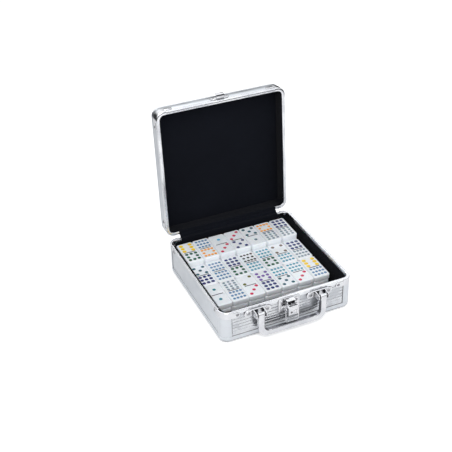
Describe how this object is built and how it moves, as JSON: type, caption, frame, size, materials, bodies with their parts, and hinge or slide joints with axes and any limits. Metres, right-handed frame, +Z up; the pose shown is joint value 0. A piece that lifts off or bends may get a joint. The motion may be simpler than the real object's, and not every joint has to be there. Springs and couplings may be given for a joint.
{
  "type": "domino storage box",
  "caption": "Aluminium game case with hinged lid, bail handle and key latch, holding a double-twelve domino set in stacked rows.",
  "frame": {"origin": "centre of the base's bottom face, on the surface it stands on", "axes": "+X to the right seen from the front, +Y from the front (handle) to the back (hinges), +Z up"},
  "size_m": [0.2, 0.2509, 0.2565],
  "materials": {
    "aluminium_skin": "satin anodised sheet, faint horizontal grain",
    "rim_metal": "bright drawn aluminium channel",
    "chrome": "polished nickel-chrome plating",
    "rivet_steel": "plated steel rivets and pins",
    "core_board": "plain fibreboard, hidden",
    "black_lining": "short-pile black cloth lining",
    "domino_white": "polished white plastic with inset coloured pips"
  },
  "bodies": {
    "base": {"base_bottom_sheet": "aluminium_skin", "base_floor_board": "core_board", "base_bottom_band": "aluminium_skin", "base_wall_boards": "core_board", "base_corner_blocks": "core_board", "base_corner_skins": "aluminium_skin", "base_front_panel": "aluminium_skin", "base_back_panel": "aluminium_skin", "base_side_panels": "aluminium_skin", "base_rim": "rim_metal", "base_lining": "black_lining", "base_floor_pad": "black_lining", "base_corner_caps": "chrome", "base_cap_rivets": "rivet_steel", "hinge_leaves_base": "chrome", "hinge_pins": "rivet_steel", "hinge_rivets_base": "rivet_steel", "hinge_cover_base": "black_lining", "handle_bracket_left": "chrome", "handle_bracket_right": "chrome", "handle_bracket_rivets": "rivet_steel", "handle_pins": "rivet_steel", "latch_plate": "chrome", "latch_rivets": "rivet_steel", "latch_pin": "rivet_steel"},
    "lid": {"hinge_leaves_lid": "chrome", "hinge_rivets_lid": "rivet_steel", "hinge_cover_lid": "black_lining", "lid_top_sheet": "aluminium_skin", "lid_top_board": "core_board", "lid_edge_band": "aluminium_skin", "lid_wall_boards": "core_board", "lid_corner_blocks": "core_board", "lid_rim": "rim_metal", "lid_lining": "black_lining", "lid_corner_caps": "chrome", "lid_cap_rivets": "rivet_steel", "lid_catch": "chrome", "lid_catch_rivets": "rivet_steel"},
    "handle": {"handle_bail": "chrome"},
    "latch_lever": {"latch_lever": "chrome", "loop_pivot_pins": "rivet_steel"},
    "latch_loop": {"latch_loop": "chrome"},
    "lock": {"lock_cylinder": "chrome", "lock_tongue": "rivet_steel"},
    "domino_stack": {"domino_layer_1": "domino_white", "domino_layer_2": "domino_white", "domino_layer_3": "domino_white", "domino_layer_4": "domino_white"},
    "domino_top_row": {"domino_top_row": "domino_white"}
  },
  "joints": [
    {"name": "lid_hinge", "type": "hinge", "parent": "base", "child": "lid", "pos_m": [0, 0.1007, 0.0505], "axis": [-1, 0, 0], "range_deg": [-93.5, 0]},
    {"name": "handle_swing", "type": "hinge", "parent": "base", "child": "handle", "pos_m": [0, -0.109, 0.0426], "axis": [-1, 0, 0], "range_deg": [0, 100]},
    {"name": "latch_lever_lift", "type": "hinge", "parent": "base", "child": "latch_lever", "pos_m": [0, -0.1085, 0.042], "axis": [-1, 0, 0], "range_deg": [0, 120]},
    {"name": "latch_loop_swing", "type": "hinge", "parent": "latch_lever", "child": "latch_loop", "pos_m": [0, -0.1085, 0.0375], "axis": [1, 0, 0], "range_deg": [-195, 0]},
    {"name": "lock_turn", "type": "hinge", "parent": "latch_lever", "child": "lock", "pos_m": [0.0032, -0.108, 0.0336], "axis": [0, 1, 0], "range_deg": [0, 90]},
    {"name": "domino_stack_lift", "type": "slide", "parent": "base", "child": "domino_stack", "axis": [0, 0, 1], "range_m": [0, 0.06]},
    {"name": "top_row_lift", "type": "slide", "parent": "domino_stack", "child": "domino_top_row", "axis": [0, 0, 1], "range_m": [0, 0.04]}
  ]
}
